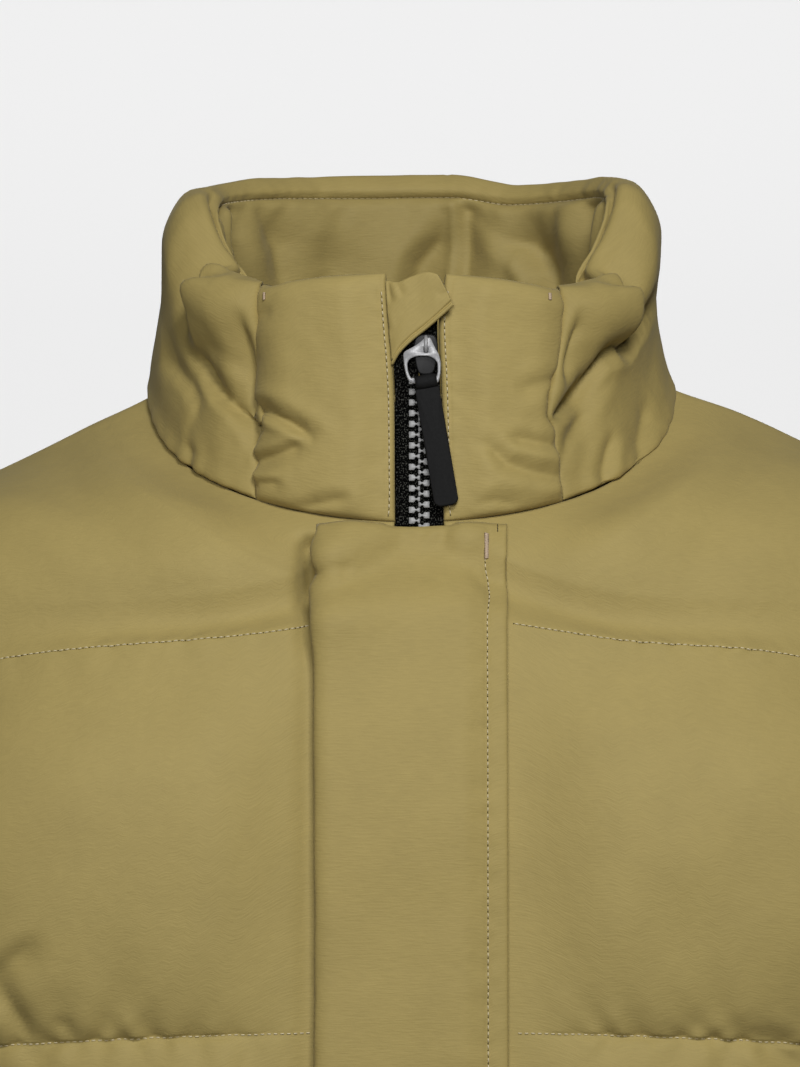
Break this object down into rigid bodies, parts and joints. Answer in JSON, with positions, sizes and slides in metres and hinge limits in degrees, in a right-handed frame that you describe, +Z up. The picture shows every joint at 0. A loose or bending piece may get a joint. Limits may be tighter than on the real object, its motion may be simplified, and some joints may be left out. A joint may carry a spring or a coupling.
{
  "type": "puffer parka",
  "caption": "Padded parka, filled out with no wearer, with quilted channels, a high soft collar, set-in sleeves, a zip with a long pull and a storm flap over it.",
  "frame": {"origin": "middle of the neck's base, level with the high shoulder points, where the parka hangs on its wearer", "axes": "+X towards the wearer's left, -Y towards the front, +Z up"},
  "size_m": [0.9756, 0.3323, 0.9005],
  "materials": {
    "front_right": "soft satin",
    "front_left": "soft satin",
    "back": "soft satin",
    "sleeve_right": "soft satin",
    "sleeve_left": "soft satin",
    "collar_back": "soft satin",
    "collar_lining": "soft satin",
    "collar_front_right": "soft satin",
    "collar_front_left": "soft satin",
    "zip_guard": "soft satin",
    "storm_flap": "soft satin",
    "zip_tape": "woven matt",
    "zip_teeth": "satin",
    "zip_slider": "satin",
    "pull_ring": "worn bright",
    "pull_tab": "matt"
  },
  "bodies": {
    "parka": {"front_right": "front_right", "front_left": "front_left", "back": "back", "sleeve_right": "sleeve_right", "sleeve_left": "sleeve_left", "collar_back": "collar_back", "collar_lining": "collar_lining", "collar_front_right": "collar_front_right", "collar_front_left": "collar_front_left", "zip_guard": "zip_guard", "storm_flap": "storm_flap", "zip_tape_right": "zip_tape", "zip_tape_left": "zip_tape", "zip_chain": "zip_teeth", "zip_slider": "zip_slider"},
    "ring": {"pull_ring": "pull_ring"},
    "tab": {"pull_tab": "pull_tab"}
  },
  "joints": [
    {"name": "ring_hinge", "type": "hinge", "parent": "parka", "child": "ring", "pos_m": [0.006, -0.10318, 0.0195], "axis": [-1, 0, 0], "range_deg": [0, 120]},
    {"name": "tab_hinge", "type": "hinge", "parent": "ring", "child": "tab", "pos_m": [0.006, -0.10458, 0.00346], "axis": [-0.986, -0.0145, -0.1661], "range_deg": [0, 60]}
  ]
}
